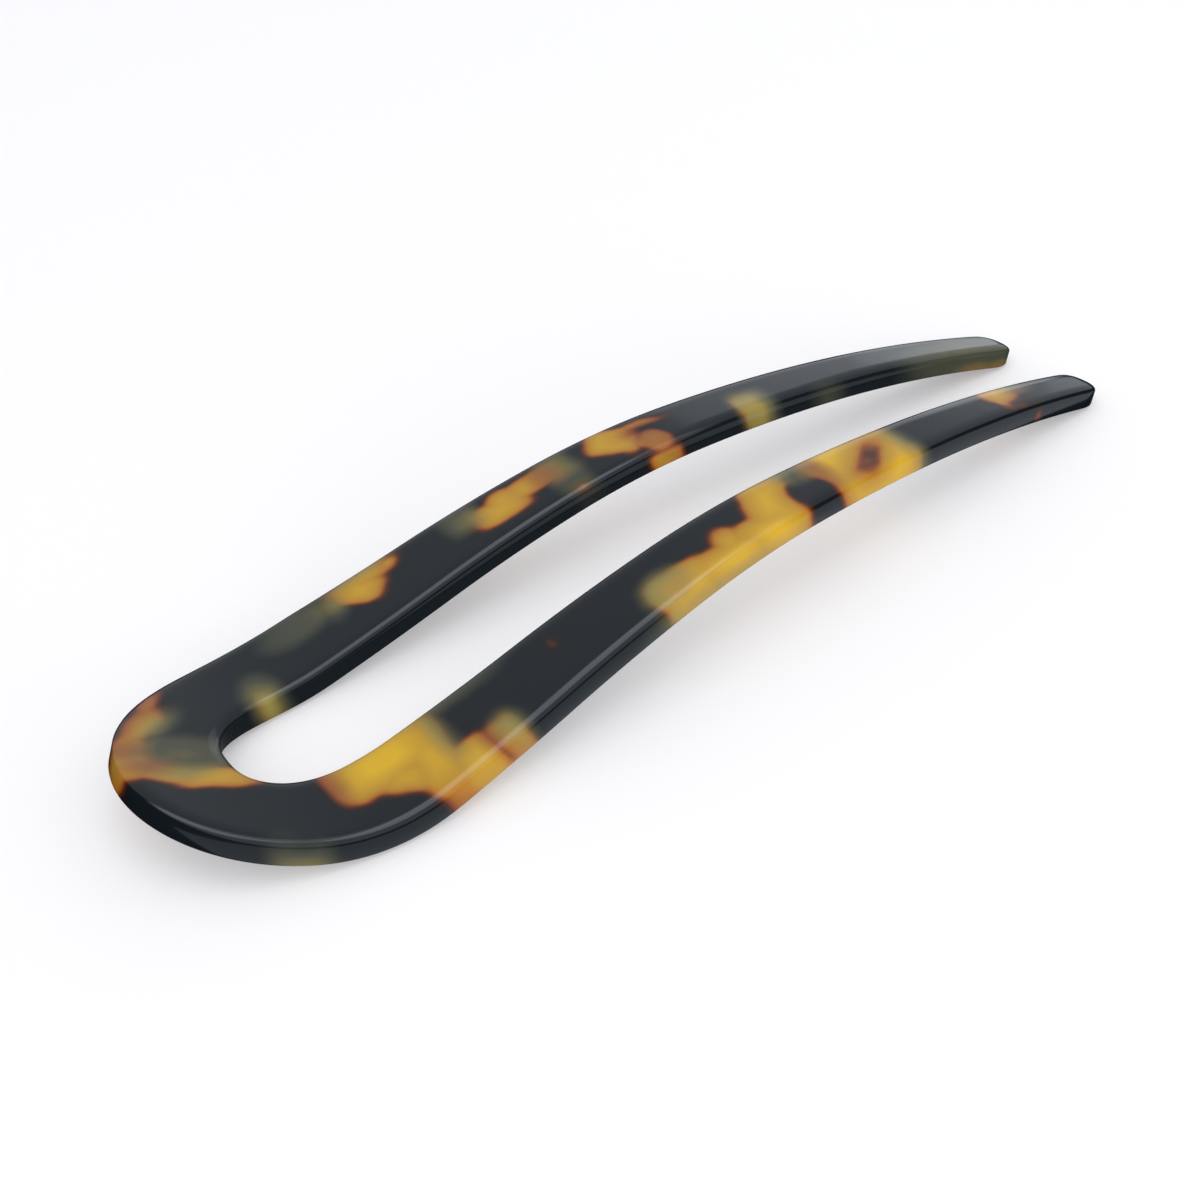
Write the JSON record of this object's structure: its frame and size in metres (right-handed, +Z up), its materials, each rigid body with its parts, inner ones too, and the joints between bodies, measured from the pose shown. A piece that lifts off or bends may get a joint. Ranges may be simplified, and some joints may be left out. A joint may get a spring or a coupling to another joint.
{
  "type": "french hair pin",
  "caption": "Flat tortoiseshell acetate hair pin with a round crown, tapered legs and a long open slot, bent in a gentle wave to hold a twist of hair.",
  "frame": {"origin": "below the middle of the pin's box, on the surface that its crown and tips rest on", "axes": "+X from the crown to the tips, +Y across the legs, +Z up"},
  "size_m": [0.128, 0.0368, 0.0112],
  "materials": {
    "acetate": "polished tortoiseshell acetate, near black with amber and olive patches"
  },
  "bodies": {
    "root": {"hair_pin": "acetate"}
  },
  "joints": []
}
